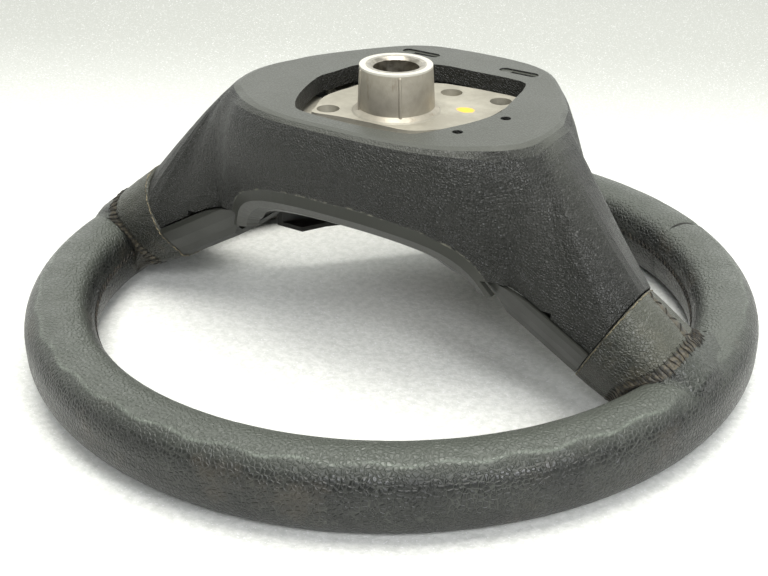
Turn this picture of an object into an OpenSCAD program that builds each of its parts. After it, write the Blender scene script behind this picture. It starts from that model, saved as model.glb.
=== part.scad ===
// Car steering wheel, lying face down on its rim as it rests on a bench.
// The origin is on the hub axis at the level the rim rests on. +Z points to the steering column.
// -Y is 12 o'clock of the wheel, +Y is 6 o'clock, and the side spokes run along X.

/* [Rim] */
// Outer diameter of the leather rim
rim_d = 370; // [350:1:390]
// Width of the grip section across the rim
grip_w = 33.4; // [30:0.2:36]
// Height of the grip section, front to back
grip_h = 39.1; // [36:0.2:42]
// Thickness of the leather wrap
leather_t = 1.3; // [1:0.1:2]
// Diameter of the steel rod inside the foam
core_d = 12; // [10:0.5:14]
// Angle from 3 o'clock to the joint of the two leather panels
panel_joint_deg = 52; // [48:1:60]
// Gap between the two leather panels at their joint
panel_gap = 0.4; // [0.2:0.1:1]

/* [Spokes] */
// Slope of the spokes from the hub down to the rim
spoke_slope = 30; // [26:1:32]
// Length of the leather cuff from its seam to the middle of the rim
cuff_len = 47.6; // [44:0.5:52]
// Width of a side spoke
spoke_w = 64; // [58:1:70]
// Depth of a side spoke, front to back
spoke_h = 50; // [46:1:54]
// Width of the lower spoke
low_spoke_w = 46; // [40:1:52]
// Depth of the lower spoke, front to back
low_spoke_h = 42; // [38:1:46]
// Offset of the side spokes toward 6 o'clock
spoke_y = -5; // [-10:1:0]

/* [Rear cover] */
// Height of the flat top of the cover above the bench
top_z = 127; // [120:1:134]
// Wall of the cover
cover_wall = 2.8; // [2:0.1:3.5]
// Depth of the skirt round the opening in the top
skirt_depth = 8.5; // [6:0.5:8.5]
// Depth of the oval recesses round the release slots
slot_recess = 0.8; // [0.4:0.1:1.2]
// Length of a release slit
slit_len = 14.7; // [10:0.1:18]
// Width of a release slit
slit_w = 2.2; // [1.5:0.1:3]
// Diameter of the two clip holes in the top
clip_hole_d = 5; // [3:0.5:6]

/* [Spoke trims] */
// Wall of the spoke trims
trim_wall = 2.6; // [2:0.1:3.5]
// Visible gap between the moulded parts
joint_gap = 0.4; // [0.2:0.1:0.8]

/* [Hub] */
// Height of the hub boss top above the bench
hub_top_z = 144; // [138:1:150]
// Height of the hub plate above the bench, under the cover
plate_z = 118; // [116:0.5:118]
// Thickness of the hub plate
plate_t = 8; // [6:0.5:9]
// Height of the raised pad round the boss above the plate
pad_h = 3.5; // [2:0.5:4]
// Diameter of the holes in the hub plate
plate_hole_d = 11; // [8:0.5:12]
// Diameter of the hub boss at its top
hub_d_top = 35; // [33:0.5:37]
// Diameter of the hub boss where it meets the plate
hub_d_foot = 38; // [37:0.5:42]
// Diameter of the steel bush pressed into the hub
bush_d = 29; // [27:0.5:30]
// Smooth bore at the mouth of the bush
bore_d = 22; // [20:0.5:23]
// Length of the smooth bore below its chamfer
bore_len = 9; // [6:0.5:12]
// Number of splines on the shaft
splines = 40; // [30:1:48]
// Depth of a spline groove
spline_depth = 0.8; // [0.5:0.1:1.2]

/* [Fixings] */
// Thread diameter of the cover screws
screw_d = 4; // [3:0.5:5]
// Head diameter of the cover screws
screw_head_d = 8; // [7:0.5:9]
// Wire diameter of the airbag latch springs
spring_wire = 2.5; // [2:0.1:3]

/* [Hidden] */
$fn = 64;

rim_r = (rim_d - grip_w)/2;
rim_z = grip_h/2;
// Plan sizes of the hub block follow the rim, from a wheel whose section runs at this radius
plan_r = 168.3;
share = rim_r/plan_r;
function sized(l) = [for (p = l) [p[0]*share, p[1]*share]];
sn = sin(spoke_slope);
cs = cos(spoke_slope);
// Distance along the spoke direction to the seam of the cuff, and height of the spoke axis
seam_d = rim_r*cs - rim_z*sn - cuff_len;
axis_s = rim_r*sn + rim_z*cs - 0.8;

// Outline of a spoke in its own cross-section: across, height above the spoke axis
function spoke_side(w, h) = [
    [-w*0.31, -h*0.42], [-w*0.42, -h*0.3], [-w*0.5, -h*0.085], [-w*0.5, h*0.11],
    [-w*0.46, h*0.33], [-w*0.36, h*0.5], [-w*0.18, h*0.58], [w*0.04, h*0.49],
    [w*0.24, h*0.335], [w*0.4, h*0.16], [w*0.49, -h*0.085], [w*0.44, -h*0.29], [w*0.31, -h*0.42]];
function low_side(w, h) = [
    [-w*0.3, -h*0.5], [-w*0.44, -h*0.36], [-w*0.5, -h*0.1], [-w*0.49, h*0.12],
    [-w*0.42, h*0.32], [-w*0.26, h*0.45], [0, h*0.49], [w*0.26, h*0.45],
    [w*0.42, h*0.32], [w*0.49, h*0.12], [w*0.5, -h*0.1], [w*0.44, -h*0.36], [w*0.3, -h*0.5]];

// Smooth closed curve through a ring of points, n steps to a span
function blend(a, b, c, d, t) = 0.5*(2*b + (c - a)*t + (2*a - 5*b + 4*c - d)*t*t + (3*b - a - 3*c + d)*t*t*t);
function ring(p, n) = [for (i = [0:len(p) - 1], k = [0:n - 1])
    blend(p[(i + len(p) - 1)%len(p)], p[i], p[(i + 1)%len(p)], p[(i + 2)%len(p)], k/n)];

// Stands a cross-section on a spoke: extruded outward from distance d0 to d1
module along_spoke(turn, shift, d0, d1) {
    rotate([0, 0, turn])
        multmatrix([[0, sn, cs, 0], [1, 0, 0, shift], [0, cs, -sn, 0], [0, 0, 0, 1]])
            translate([0, axis_s, d0]) linear_extrude(d1 - d0) children();
}
module side_section(inset) {
    offset(delta = -inset) polygon(ring(spoke_side(spoke_w, spoke_h), 2));
}
module low_section(inset) {
    offset(delta = -inset) polygon(ring(low_side(low_spoke_w, low_spoke_h), 2));
}
module low_spoke(inset, d0, d1) { along_spoke(90, 0, d0, d1) low_section(inset); }

// Rim section: two half rounds and the flat between them
module grip(inset) {
    r = grip_w/2 - inset;
    translate([rim_r, rim_z]) {
        translate([0, (grip_h - grip_w)/2]) circle(r);
        translate([0, -(grip_h - grip_w)/2]) circle(r);
        square([2*r, grip_h - grip_w], center = true);
    }
}
module rim_bar(inset) { rotate_extrude($fn = 160) grip(inset); }

// Height of the parting line between cover and trim over a point x of the spoke. It runs along the spoke
// and bends down toward the arch.
parting_s = -0.012*spoke_h;
bend_x = 100*share;
bend_r = 48;
function parting_z(x) = (axis_s + parting_s - x*sn)/cs - pow(max(0, bend_x - x), 2)/(2*bend_r);
low_parting_z = 51.4;
// The smooth lip of the arch ends level, where the slanted end of the side trim meets it
lip_end_x = 70.5*share;
lip_end_slant = 0.56;
lip_top = parting_z(lip_end_x);
lip_end_z = lip_top - 8.3;
// The parting line from the end of the lip to beyond the cuff, lowered by a gap
function parting_curve(gap) = concat([for (k = [0:5]) let (x = lip_end_x + (bend_x - lip_end_x)*k/5) [x, parting_z(x) - gap]],
    [[rim_r, parting_z(rim_r) - gap]]);
// A point of the cuff seam, from the outline of the side spoke or of the lower spoke
cover_end_d = seam_d - joint_gap - 0.6;
function on_spoke(p, d) = [d*cs + (axis_s + p[1])*sn, spoke_y + p[0], (axis_s + p[1])*cs - d*sn];
function side_seam(i) = on_spoke(spoke_side(spoke_w, spoke_h)[i], cover_end_d);
function low_seam(i) = let (p = low_side(low_spoke_w, low_spoke_h)[i])
    [p[0], cover_end_d*cs + (axis_s + p[1])*sn, (axis_s + p[1])*cs - cover_end_d*sn];

// The cover is a loft. Each station runs from the flat top to the lower edge:
// edge of the flat, corner, shoulder of the wall, lower edge, belly of the lip, end of the lip.
function plain_edge(p) = [p - [0, 0, 0.3], p - [0, 0, 0.6]];
function grown(p) = [p[0]*share, p[1]*share, p[2]];
function station(a, b, c, e) = concat([[a[0]*share, a[1]*share, top_z], [b[0]*share, b[1]*share, top_z],
    grown(c), e], plain_edge(e));
function lip_station(a, b, c, e, f, g) = concat([[a[0]*share, a[1]*share, top_z],
    [b[0]*share, b[1]*share, top_z]], [for (p = [c, e, f, g]) grown(p)]);
// A point under the parting line of the side spoke, and the corners of the level parting line round the lower spoke
function under_part(x, y, drop) = [x*share, y, parting_z(x*share) - drop];
low_edge = sized([[105, 29.5], [84, 46], [62.5, 70], [47, 87], [28, 104]]);
function low_part(i) = [low_edge[i][0], low_edge[i][1], low_parting_z];
half_cover = [
    lip_station([0, -49], [0, -59], [0, -59.5, 108], [0, -58, 93.4], [0, -59.5, 84], [0, -49, 79.5]),
    lip_station([25, -48.5], [27, -58.5], [27, -59, 108], [26, -57.3, 92.6], [26, -58.8, 83], [26, -48.5, 78.6]),
    lip_station([45, -44.5], [50, -54], [51, -54.5, 103], [50.5, -50.3, 86], [49, -52.5, 78], [46, -43.5, 73.5]),
    lip_station([58, -38], [66, -47.5], [67.5, -50, 98], [66.6, -43.5, 76], [61.5, -47.5, 71], [54.5, -38, 66]),
    lip_station([64, -33.5], [73.5, -41.5], [76, -46, 90], [75.5, -37, lip_top - 4.8],
        [69, -42, lip_top - 5.3], [62.5, -32, lip_top - 6.3]),
    lip_station([69, -29.5], [79, -36.5], [83, -46, 81], [81.5, -30, lip_top - 23.3],
        [75, -35, lip_top - 23.3], [70, -27, lip_top - 23.3]),
    station([74, -25.5], [83, -31.5], [88, -41, 88], under_part(84, -34, 7)),
    station([78, -20], [86.5, -25], [97, -39, 88], under_part(100, -36, 4.6)),
    station([80, -13.5], [88.5, -18], [104, -36, 88], on_spoke([-30.9, parting_s - 4], cover_end_d)),
    station([81, -7], [88.5, -11], [105, -30, 99], side_seam(4)),
    station([81.5, 0], [88.5, -4], [104, -16, 108], side_seam(6)),
    station([81, 7], [88.5, 4], [104, -2, 106], side_seam(7)),
    station([80, 14], [87, 15], [103, 13, 98], side_seam(8)),
    station([77, 22], [83, 25], [95, 27, 84], side_seam(10)),
    station([73, 33], [79, 37], [86, 39, 87], low_part(0)),
    station([64.5, 47.5], [70, 52], [74, 54, 92], low_part(1)),
    station([54, 62.5], [59.5, 67.5], [61.5, 69.5, 90], low_part(2)),
    station([42.5, 76], [47.5, 83.5], [48, 86, 90], low_part(3)),
    station([31.5, 83], [35.5, 91], [36, 99, 88], low_part(4)),
    station([22, 85.5], [24, 93], [25, 106, 88], low_seam(10)),
    station([12, 86.3], [13, 94], [14, 107, 101], low_seam(8)),
    station([0, 86.5], [0, 94], [0, 107, 104], low_seam(6))];
function flip(s) = [for (p = s) [-p[0], p[1], p[2]]];
half_n = len(half_cover);
stations = concat(half_cover, [for (i = [half_n - 2:-1:1]) flip(half_cover[i])]);
span_steps = 3;
cols = len(stations)*span_steps;
control = [for (k = [0:5]) ring([for (s = stations) s[k]], span_steps)];
function bez(a, b, c, d, t) = a*pow(1 - t, 3) + 3*b*t*pow(1 - t, 2) + 3*c*t*t*(1 - t) + d*pow(t, 3);
function bow(a, b, c, t) = a*pow(1 - t, 2) + 2*b*t*(1 - t) + c*t*t;
wall_t = [0, 0.1, 0.2, 0.32, 0.46, 0.6, 0.74, 0.87, 1];
lip_t = [0.35, 0.7, 1];
skin = concat(
    [for (t = wall_t) [for (j = [0:cols - 1]) bez(control[0][j], control[1][j], control[2][j], control[3][j], t)]],
    [for (t = lip_t) [for (j = [0:cols - 1]) bow(control[3][j], control[4][j], control[5][j], t)]]);
rows = len(skin);
function unit(v) = v/norm(v);
function face_up(r, j) = unit(cross(
    skin[r][(j + 1)%cols] - skin[r][(j + cols - 1)%cols],
    skin[max(r - 1, 0)][j] - skin[min(r + 1, rows - 1)][j]));
function inset_point(r, j, wall) = r == 0 ? skin[0][j] - [0, 0, wall] : skin[r][j] - wall*face_up(r, j);
top_middle = [0, 12*share, top_z];
module cover_shell() {
    inside = [for (r = [0:rows - 1]) [for (j = [0:cols - 1]) inset_point(r, j, cover_wall)]];
    points = concat([for (r = skin) each r], [for (r = inside) each r],
        [top_middle, top_middle - [0, 0, cover_wall]]);
    in0 = rows*cols;
    peak = 2*rows*cols;
    faces = [
        for (j = [0:cols - 1]) let (k = (j + 1)%cols) each concat(
            [[peak, k, j], [peak + 1, in0 + j, in0 + k]],
            [for (r = [0:rows - 2], f = [
                [r*cols + j, r*cols + k, (r + 1)*cols + k],
                [r*cols + j, (r + 1)*cols + k, (r + 1)*cols + j],
                [in0 + r*cols + j, in0 + (r + 1)*cols + k, in0 + r*cols + k],
                [in0 + r*cols + j, in0 + (r + 1)*cols + j, in0 + (r + 1)*cols + k]]) f],
            [[(rows - 1)*cols + j, (rows - 1)*cols + k, in0 + (rows - 1)*cols + k],
                [(rows - 1)*cols + j, in0 + (rows - 1)*cols + k, in0 + (rows - 1)*cols + j]])];
    polyhedron(points, faces, convexity = 6);
}

// Opening in the top, as seen from the column
opening = sized([[24, -39], [33.5, -34.5], [41, -21], [48, -4], [50.5, 12], [47, 33], [43.5, 49], [37, 57.5],
    [10, 58], [-10, 57.5], [-26, 48], [-43.5, 37], [-48.5, 17], [-50, 5], [-43, -19], [-34, -35], [-25, -39.5], [0, -41]]);
slot_at = sized([[-29.2, 69.5], [29.2, 69.5]]);
clip_hole_at = sized([[47.5, -23], [57, 5]]);
post_at = sized([[-58, -33], [58, -33], [-58, 35], [58, 35]]);
post_d = 9;
post_z = 115;
screw_pilot = 0.6;
tab_t = 5;
tab_gap = 0.2;
module prism(z0, z1) { translate([0, 0, z0]) linear_extrude(z1 - z0) children(); }
module opening_shape(grow) { offset(delta = grow) polygon(ring(opening, 3)); }
module slot_recess_shape() {
    translate([-7.5, 0]) circle(3.2);
    translate([8, 0]) circle(3.2);
    translate([0.25, 0]) square([15.5, 6.4], center = true);
}
// Everything outward of the cuff seams, for cutting the mouldings that end there
module seam_cuts(d) {
    for (turn = [0, 90, 180]) along_spoke(turn, 0, d, d + cuff_len) square(rim_r, center = true);
}
module rear_cover() {
    color("#4b4d48") difference() {
        union() {
            cover_shell();
            prism(top_z - skirt_depth, top_z - 0.5) difference() {
                opening_shape(cover_wall);
                opening_shape(0);
            }
            for (p = post_at) translate([p[0], p[1], post_z]) cylinder(h = top_z - post_z - 0.5, d = post_d);
        }
        seam_cuts(seam_d - joint_gap);
        for (s = [0, 1]) mirror([s, 0, 0]) {
            rotate([90, 0, 0]) linear_extrude(rim_r)
                polygon(concat(parting_curve(0), [[rim_r, 0], [lip_end_x + lip_top*lip_end_slant, 0]]));
            translate([lip_end_x/2, -rim_r/2, 0]) cube([lip_end_x, rim_r/2, lip_end_z]);
        }
        prism(post_z, top_z + 1) opening_shape(0);
        for (p = slot_at) translate([p[0], p[1], 0]) {
            prism(top_z - slot_recess, top_z + 1) slot_recess_shape();
            translate([3.2, 0, top_z]) cube([slit_len, slit_w, 6*cover_wall], center = true);
        }
        for (p = clip_hole_at) translate([p[0], p[1], top_z - 2*cover_wall]) cylinder(h = 4*cover_wall, d = clip_hole_d);
        for (p = post_at) translate([p[0], p[1], post_z - 1]) cylinder(h = 10, d = screw_d - screw_pilot);
    }
}

// Cast skeleton: three ribbed arms, hub plate and hub boss in one casting, cast round the steel rod of the rim
arm_w = 30;
arm_wall = 2;
arm_web = 5;
arm_rib = 14;
sleeve_wall = 3;
sleeve_deg = 6.5;
function arm_x(x) = x*share;
arm_drop = 3;
arm_top = [[arm_x(40), plate_z - arm_drop], [arm_x(58), plate_z - arm_drop], [arm_x(96), 85], [rim_r - 22, 36], [rim_r, rim_z + 4]];
arm_under = [[rim_r, rim_z - 4], [rim_r - 26, 36 - arm_rib], [arm_x(92), 84 - arm_rib],
    [arm_x(54), plate_z + 4 - arm_rib], [arm_x(40), plate_z + 4 - arm_rib]];
arm_pocket = [[arm_x(52), plate_z - arm_web], [arm_x(60), plate_z - arm_web - 2], [arm_x(94), 77 - arm_web/2],
    [rim_r - 34, 42 - arm_web], [rim_r - 34, 20], [arm_x(92), 60], [arm_x(50), plate_z - 30], [arm_x(52), plate_z - 20]];
module arm(turn, shift) {
    rotate([0, 0, turn]) translate([0, shift, 0]) difference() {
        rotate([90, 0, 0]) translate([0, 0, -arm_w/2]) linear_extrude(arm_w) polygon(concat(arm_top, arm_under));
        for (side = [-1, 1]) translate([0, side*arm_w/4, 0]) rotate([90, 0, 0])
            translate([0, 0, arm_wall - arm_w/4]) linear_extrude(arm_w/2 - 2*arm_wall) polygon(arm_pocket);
    }
}
// Cast end of an arm, closed round the rod
module sleeve(turn, shift) {
    middle = turn + atan2(shift, rim_r);
    rotate([0, 0, middle - sleeve_deg]) rotate_extrude(angle = 2*sleeve_deg, $fn = 160)
        translate([rim_r, rim_z]) circle(core_d/2 + sleeve_wall);
}
module arms() {
    for (a = [[0, spoke_y], [90, 0], [180, -spoke_y]]) {
        arm(a[0], a[1]);
        sleeve(a[0], a[1]);
    }
}
module rod() { rotate_extrude($fn = 160) translate([rim_r, rim_z]) circle(core_d/2); }

plate = sized([[-18, -24], [18, -24], [28, -24], [38, -18], [42, -6], [44, 14], [43, 34], [44, 48],
    [36, 53], [0, 52], [-20, 43], [-38, 29], [-42, 8], [-40, -10], [-36, -24], [-26, -27]]);
pad = sized([[-34.5, -18], [-32, -25], [-25, -24.5], [-17, -23], [0, -22], [15, -22], [23, -19.5], [30, -13],
    [38, -3], [42, 12], [42.5, 30], [41, 46], [34, 49.5], [0, 47.5], [-18, 38], [-34, 26], [-37.5, 14], [-40, 1], [-38.5, -9]]);
plate_holes = sized([[-28, -17], [36, 39]]);
pocket_at = sized([[9, 37]]);
boss_under = 18;
pocket_deep = 4;
foot_h = 2.5;
foot_w = 3;
rib_r = 0.9;
bracket_w = 40;
bracket_d = 8;
bracket_t = 3.8;
tab_w = 12;
bracket_at = sized([[26, 60]]);
module armature() {
    tab_z = post_z - tab_gap;
    pad_z = plate_z + pad_h;
    color("#cfccbd") difference() {
        union() {
            prism(plate_z - plate_t, plate_z) polygon(ring(plate, 2));
            prism(plate_z - plate_t, pad_z) polygon(ring(pad, 2));
            for (p = post_at) prism(tab_z - tab_t, tab_z) {
                translate(p) circle(7);
                rotate([0, 0, atan2(p[1], p[0])]) translate([norm(p)/2 + 12, 0])
                    square([norm(p) - 24, tab_w], center = true);
            }
            for (s = [-1, 1], p = bracket_at) prism(plate_z - plate_t, plate_z - plate_t + bracket_t) {
                translate([s*p[0], p[1]]) square([bracket_w, bracket_d], center = true);
                translate([s*(p[0] - 6), p[1] - 7]) square([10, 20], center = true);
            }
            arms();
            translate([0, 0, plate_z]) cylinder(h = hub_top_z - plate_z, d1 = hub_d_foot, d2 = hub_d_top);
            translate([0, 0, plate_z - boss_under]) cylinder(h = boss_under, d = hub_d_foot + 4);
            translate([0, 0, pad_z]) cylinder(h = foot_h, d1 = hub_d_foot + 2*foot_w - 1, d2 = hub_d_foot - 0.5);
            for (a = [51.5, 128.5, -51.5, -128.5]) rotate([0, 0, a]) hull() {
                translate([hub_d_foot/2 - 0.4, 0, pad_z]) sphere(rib_r, $fn = 16);
                translate([hub_d_top/2 - 0.1, 0, hub_top_z - 2]) sphere(rib_r, $fn = 16);
            }
        }
        rod();
        translate([0, 0, plate_z - boss_under - 1]) cylinder(h = hub_top_z - plate_z + boss_under + 2, d = bush_d);
        for (p = plate_holes) translate([p[0], p[1], plate_z - plate_t - 1])
            cylinder(h = plate_t + pad_h + 2, d = plate_hole_d);
        for (p = pocket_at) translate([p[0], p[1], pad_z - pocket_deep]) cylinder(h = pocket_deep + 1, d = plate_hole_d);
        for (p = post_at) translate([p[0], p[1], tab_z - tab_t - 1]) cylinder(h = tab_t + 2, d = screw_d + 0.8);
    }
}
chamfer = 1.5;
module hub_bush() {
    bush_len = hub_top_z - plate_z + boss_under;
    core = bore_d - 2*spline_depth - 1.4;
    color("#a8a296") translate([0, 0, plate_z - boss_under]) difference() {
        cylinder(h = bush_len, d = bush_d);
        translate([0, 0, bush_len - bore_len - chamfer]) cylinder(h = bore_len + chamfer + 1, d = bore_d);
        translate([0, 0, bush_len - chamfer]) cylinder(h = chamfer + 0.1, d1 = bore_d, d2 = bore_d + 2*chamfer + 0.2);
        translate([0, 0, -1]) cylinder(h = bush_len + 2, d = core);
        translate([0, 0, -1]) for (i = [0:splines - 1]) rotate([0, 0, i*360/splines])
            translate([core/2, 0, 0]) rotate([0, 0, 45]) translate([-0.5, -0.5, 0]) cube([1, 1, bush_len - bore_len]);
    }
}
module rim_rod() { color("#6f6e69") rod(); }

// Moulded foam round the rim rod and the spoke ends
spoke_flare = [1.1, 0.78];
module spoke_stub(turn, shift, inset) {
    rotate([0, 0, turn])
        multmatrix([[0, sn, cs, 0], [1, 0, 0, shift], [0, cs, -sn, 0], [0, 0, 0, 1]])
            translate([0, axis_s, seam_d]) linear_extrude(cuff_len - 1, scale = spoke_flare, slices = 1) children();
}
module right_stub(inset) { spoke_stub(0, spoke_y) side_section(inset); }
module left_stub(inset) { mirror([1, 0, 0]) right_stub(inset); }
module low_stub(inset) { spoke_stub(90, 0) low_section(inset); }
module rim_foam() {
    color("#2b2b29") difference() {
        union() {
            rim_bar(leather_t);
            right_stub(leather_t);
            left_stub(leather_t);
            low_stub(leather_t);
        }
        rod();
        arms();
    }
}
module rim_skin(from, to) {
    rotate([0, 0, from]) rotate_extrude(angle = to - from, $fn = 160) difference() {
        grip(0);
        grip(leather_t);
    }
}
gap_deg = panel_gap/rim_r*90/PI;
module upper_leather() {
    color("#343532") difference() {
        rim_skin(180 - panel_joint_deg + gap_deg, 360 + panel_joint_deg - gap_deg);
        right_stub(0);
        left_stub(0);
    }
}
module lower_leather() {
    color("#30312e") difference() {
        rim_skin(panel_joint_deg + gap_deg, 180 - panel_joint_deg - gap_deg);
        low_stub(0);
    }
}
module right_cuff() {
    color("#3a3a36") difference() {
        right_stub(0);
        right_stub(leather_t);
        rim_bar(leather_t);
    }
}
module left_cuff() {
    color("#3a3a36") mirror([1, 0, 0]) difference() {
        right_stub(0);
        right_stub(leather_t);
        rim_bar(leather_t);
    }
}
module lower_cuff() {
    color("#3a3a36") difference() {
        low_stub(0);
        low_stub(leather_t);
        rim_bar(leather_t);
    }
}

// Smooth trims under the parting line of the spokes, open toward the cover
trim_clear = 0.6;
trim_lap = 6.6;
module side_trim() {
    gap = trim_clear + joint_gap;
    foot_x = lip_end_x + joint_gap + lip_top*lip_end_slant;
    difference() {
        along_spoke(0, spoke_y, seam_d/4, seam_d - joint_gap) difference() {
            side_section(0.3);
            side_section(trim_wall);
            translate([0, parting_s - trim_lap]) square([spoke_w, 2*spoke_h]);
        }
        translate([0, rim_r/2, 0]) rotate([90, 0, 0]) linear_extrude(rim_r)
            polygon(concat([[foot_x, 0], [0, 0], [0, 2*top_z], [rim_r, 2*top_z]],
                [for (k = [6:-1:0]) parting_curve(gap)[k] + [k == 0 ? joint_gap : 0, 0]]));
        translate([0, 10*share, 0]) cube([104*share, rim_r/2, 2*top_z]);
    }
}
module right_spoke_trim() { color("#484a47") side_trim(); }
module left_spoke_trim() { color("#484a47") mirror([1, 0, 0]) side_trim(); }

face_z = 25;
low_end = low_spoke_w/2 - 0.4;
band_half = concat([[100.5*share, 31.2*share]], [for (i = [1:4]) low_edge[i] - [0, 0.3]], [[low_end, 118*share], [low_end, 150*share]]);
pocket_half = sized([[0, 84], [26, 80], [46, 72], [62, 60], [76, 44], [84, 29.2]]);
function back_mirror(l) = [for (i = [len(l) - 1:-1:0]) [-l[i][0], l[i][1]]];
module lower_trim() {
    side_x = band_half[0][0];
    outer = concat([[side_x, -rim_r/8]], band_half, back_mirror(band_half), [[-side_x, -rim_r/8]]);
    pocket = concat([[-84*share, -rim_r/16]], back_mirror(pocket_half), pocket_half, [[84*share, -rim_r/16]]);
    slope_y = 102*share;
    color("#484a47") difference() {
        union() {
            prism(face_z, low_parting_z - trim_clear - joint_gap) difference() {
                polygon(outer);
                offset(delta = -trim_wall) polygon(outer);
                translate([-rim_r, -rim_r/2]) square([2*rim_r, rim_r/2 + 31*share]);
            }
            prism(face_z, face_z + trim_wall) difference() {
                polygon(outer);
                polygon(pocket);
                translate([-rim_r, -rim_r/2]) square([2*rim_r, rim_r/2 + 31*share]);
            }
        }
        low_spoke(trim_wall, seam_d/2, seam_d + cuff_len);
        seam_cuts(seam_d - joint_gap);
        rotate([90, 0, 90]) translate([0, 0, -rim_r/2]) linear_extrude(rim_r)
            polygon([[slope_y, low_parting_z - 1], [slope_y + 60, low_parting_z - 1.6 - 60*sn/cs],
                [slope_y + 60, 90], [slope_y, 90]]);
    }
}

module cover_screws() {
    head_h = 2.4;
    head_z = post_z - tab_gap - tab_t - 0.2;
    color("#2f2f2f") for (p = post_at) translate([p[0], p[1], head_z]) {
        translate([0, 0, -head_h]) cylinder(h = head_h, d = screw_head_d);
        cylinder(h = tab_t + 8, d = screw_d - screw_pilot - 0.1);
    }
}
spring_len = 28;
spring_clear = 0.2;
module latch_spring(side) {
    color("#8a8a85") for (p = bracket_at)
        translate([side*(p[0] + 5) - spring_len/2, p[1] + bracket_d/2 + spring_wire/2 + spring_clear,
            plate_z - plate_t + bracket_t/2])
            rotate([0, 90, 0]) cylinder(h = spring_len, d = spring_wire, $fn = 24);
}
module left_latch_spring() { latch_spring(-1); }
module right_latch_spring() { latch_spring(1); }

armature();
hub_bush();
rim_rod();
rim_foam();
upper_leather();
lower_leather();
left_cuff();
right_cuff();
lower_cuff();
rear_cover();
left_spoke_trim();
right_spoke_trim();
lower_trim();
cover_screws();
left_latch_spring();
right_latch_spring();
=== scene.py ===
# %% [markdown]
# # Car steering wheel, seen from the column side
# The real thing is a die-cast skeleton, foamed and wrapped in leather, with a moulded cover on its back.
# The CAD part is loaded as a fixed frame, and the looks are built round it.
# Each cell does one step: run them in order in Blender 4.5. All lengths are in metres.

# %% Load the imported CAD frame
import math
from functools import partial
import bpy
import numpy as np
from mathutils import Matrix, Vector


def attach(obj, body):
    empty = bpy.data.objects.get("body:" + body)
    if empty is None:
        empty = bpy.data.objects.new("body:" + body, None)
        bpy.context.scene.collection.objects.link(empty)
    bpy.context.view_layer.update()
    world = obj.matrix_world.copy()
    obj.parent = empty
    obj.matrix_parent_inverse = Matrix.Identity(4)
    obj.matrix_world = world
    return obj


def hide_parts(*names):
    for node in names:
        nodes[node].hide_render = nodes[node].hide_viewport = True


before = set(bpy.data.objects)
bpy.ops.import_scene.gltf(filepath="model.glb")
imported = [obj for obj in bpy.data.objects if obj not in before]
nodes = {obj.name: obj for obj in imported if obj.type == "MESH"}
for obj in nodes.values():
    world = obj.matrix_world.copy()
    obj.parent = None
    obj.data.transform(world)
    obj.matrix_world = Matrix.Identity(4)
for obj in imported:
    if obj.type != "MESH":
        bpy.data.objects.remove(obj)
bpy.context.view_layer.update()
print("CAD nodes:", len(nodes))

# %% [markdown]
# ## Sizes
# The first numbers are the same as in the CAD source, so that leather, cuffs and stitches sit on the frame.
# The finger scallops are in the leather only.

# %% Sizes shared with the frame
RIM_R, RIM_Z = 0.1683, 0.01955        # centre line of the rim section
GRIP_R, GRIP_FLAT = 0.0167, 0.00285   # radius of the section's half rounds, half of the flat between them
SLOPE = math.radians(30)              # slope of the spokes
SIN_SLOPE, COS_SLOPE = math.sin(SLOPE), math.cos(SLOPE)
CUFF = 0.0476                         # length of a cuff, from the plastic to the rim's centre line
SEAM_D = RIM_R*COS_SLOPE - RIM_Z*SIN_SLOPE - CUFF    # where the plastic ends, measured along the spoke
AXIS_S = RIM_R*SIN_SLOPE + RIM_Z*COS_SLOPE - 0.0008  # height of the spoke's axis, square to its slope
STUB_LEN = CUFF - 0.001
FLARE = (1.1, 0.78)                   # width and height of a spoke at the rim, against those at the plastic
SIDE_W, SIDE_H = 0.064, 0.05          # side spokes
LOW_W, LOW_H = 0.046, 0.042           # lower spoke
SIDE_SHIFT = -0.005                   # the side spokes lie a little toward 12 o'clock

SCALLOPS = 37                         # finger scallops round the back of the rim
SCALLOP_DEPTH = 0.0009
SHALLOWEST = 0.35                     # depth between two fingers, as a share
SCALLOP_FROM, SCALLOP_TO = 60, 135    # degrees round the section, from outermost toward the back
SCALLOP_WAVE = 6                      # degrees by which the front edge swings
SCALLOP_RISE, SCALLOP_FALL = 16, 30   # degrees over which the scallops start and end
SPOKE_CLEAR, SPOKE_FADE = 0.22, 0.12  # radians kept free of scallops beside a spoke, and how fast they return
print(f"rim {2*(RIM_R + GRIP_R)*1000:.0f} mm across")

# %% [markdown]
# ## Small helpers
# `hexed` turns a web colour into the linear values that shaders use, and `per` a real size into a pattern's scale.
# `put` adds one shader node: it sets the node up, sets or links its inputs, told by place or by name, and gives back
# one of its outputs. Each material calls it as `add`, bound to its own node tree. The dictionaries hold settings
# that many nodes share. Every finish is worked out by nodes and not painted on a picture, so it has no edges and
# needs no unwrapping, and one recipe fits pieces of any size.

# %% Helpers for colours and shader nodes
rng = np.random.default_rng(4)
TIMES, PLUS, MINUS = {"operation": "MULTIPLY"}, {"operation": "ADD"}, {"operation": "SUBTRACT"}
ABOVE, BELOW, SIZE_OF = {"operation": "GREATER_THAN"}, {"operation": "LESS_THAN"}, {"operation": "ABSOLUTE"}
SOFT = {"interpolation_type": "SMOOTHSTEP"}    # for ranges: value, from low, from high, to low, to high
BLEND = {"data_type": "RGBA", "out": 2}        # for colours: 0 is the share of 7 that is mixed into 6


def hexed(code):
    parts = [int(code[i:i + 2], 16)/255 for i in (1, 3, 5)]
    return tuple(c/12.92 if c <= 0.04045 else ((c + 0.055)/1.055)**2.4 for c in parts) + (1.0,)


def per(mm):
    """Scale of a pattern whose grains are this many millimetres wide."""
    return 1000/mm


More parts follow.
